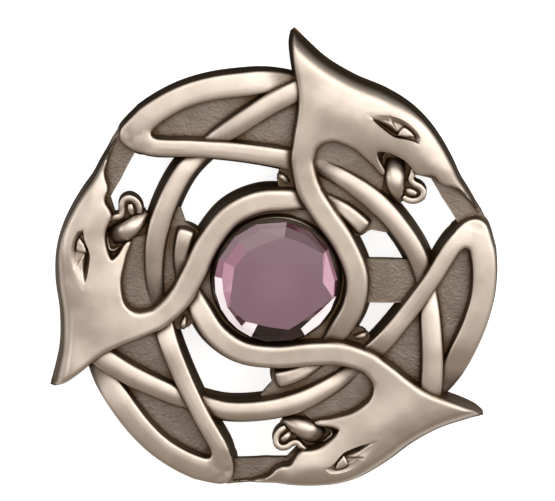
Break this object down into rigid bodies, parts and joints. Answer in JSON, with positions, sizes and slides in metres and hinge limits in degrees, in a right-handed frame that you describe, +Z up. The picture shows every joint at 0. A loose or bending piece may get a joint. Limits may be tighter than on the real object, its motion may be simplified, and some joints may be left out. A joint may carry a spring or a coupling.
{
  "type": "plaid brooch",
  "caption": "Round openwork cast brooch of beast heads whose necks and interlaced strands curl round a faceted purple stone, with a pin fitting on the back.",
  "frame": {"origin": "middle of the resting brooch's outline seen from above, on the surface that it rests on", "axes": "+Z up from the surface, out of the face of the brooch; +Y towards the pointed ear at the top of the brooch, whose tip rests on the surface; +X to the right for a person who looks at the face"},
  "size_m": [0.0722, 0.0738, 0.0153],
  "materials": {
    "pewter": "antiqued pewter: satin and brushed on the high parts, dark brown in the recesses, stippled grounds",
    "purple_stone": "cut and polished, dull mauve purple, nearly opaque",
    "pin_steel": "plain plated steel, slightly dulled"
  },
  "bodies": {
    "root": {"casting": "pewter", "stone": "purple_stone", "brooch_pin": "pin_steel"}
  },
  "joints": []
}
